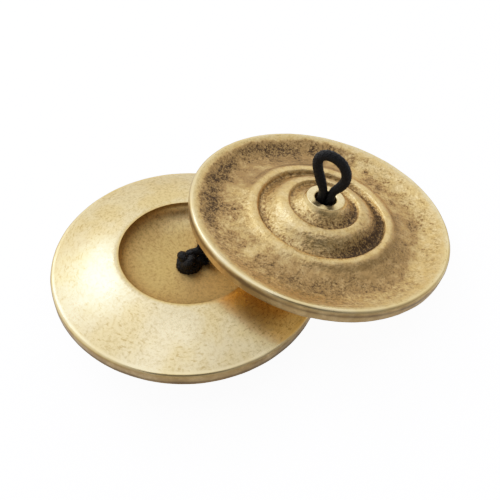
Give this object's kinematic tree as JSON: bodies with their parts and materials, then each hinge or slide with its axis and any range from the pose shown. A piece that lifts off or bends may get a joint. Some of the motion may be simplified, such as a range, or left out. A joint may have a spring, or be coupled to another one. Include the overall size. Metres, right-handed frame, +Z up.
{
  "type": "finger cymbals",
  "caption": "Pair of heavy cast brass finger cymbals with ringed hubs, round striking bowls and knotted black elastic finger loops.",
  "frame": {"origin": "on the table, under the middle of the resting pair's bounding box", "axes": "+Z up, +X from the lower cymbal towards the upper cymbal that leans on it, +Y away from the player"},
  "size_m": [0.0898, 0.0682, 0.0276],
  "materials": {
    "cast_brass": "antique satin with dark patina in the grooves",
    "braided_cover": "tight matte black braid",
    "frayed_cover": "cut and frayed black fibres",
    "rubber_core": "natural latex strands"
  },
  "bodies": {
    "lower_casting": {"lower_cymbal": "cast_brass"},
    "lower_cord": {"lower_cord_knot": "braided_cover", "lower_cord_end_a": "frayed_cover", "lower_cord_end_b": "frayed_cover"},
    "lower_loop": {"lower_finger_loop": "braided_cover", "lower_loop_core": "rubber_core"},
    "upper_casting": {"upper_cymbal": "cast_brass"},
    "upper_cord": {"upper_cord_knot": "braided_cover", "upper_cord_end_a": "frayed_cover", "upper_cord_end_b": "frayed_cover"},
    "upper_loop": {"upper_finger_loop": "braided_cover", "upper_loop_core": "rubber_core"}
  },
  "joints": [
    {"name": "lower_cord_swivel", "type": "hinge", "parent": "lower_casting", "child": "lower_cord", "pos_m": [-0.0151, -0.00464, 0.00574], "axis": [-0.1018, -0.1674, -0.9806], "continuous": true},
    {"name": "lower_loop_fold", "type": "hinge", "parent": "lower_cord", "child": "lower_loop", "pos_m": [-0.01557, -0.00541, 0.00123], "axis": [-0.5834, 0.8085, -0.0775], "range_deg": [-162.2, 0], "stiffness_Nm_per_rad": 0.002},
    {"name": "upper_cymbal_lift", "type": "slide", "parent": "lower_casting", "child": "upper_casting", "axis": [0, 0, 1], "range_m": [0, 0.04]},
    {"name": "upper_cord_swivel", "type": "hinge", "parent": "upper_casting", "child": "upper_cord", "pos_m": [0.01579, 0.00491, 0.01272], "axis": [0.2228, 0.2093, 0.9521], "continuous": true},
    {"name": "upper_loop_fold", "type": "hinge", "parent": "upper_cord", "child": "upper_loop", "pos_m": [0.01682, 0.00587, 0.0171], "axis": [0.9457, -0.2836, -0.159], "range_deg": [-81, 81], "stiffness_Nm_per_rad": 0.002}
  ]
}
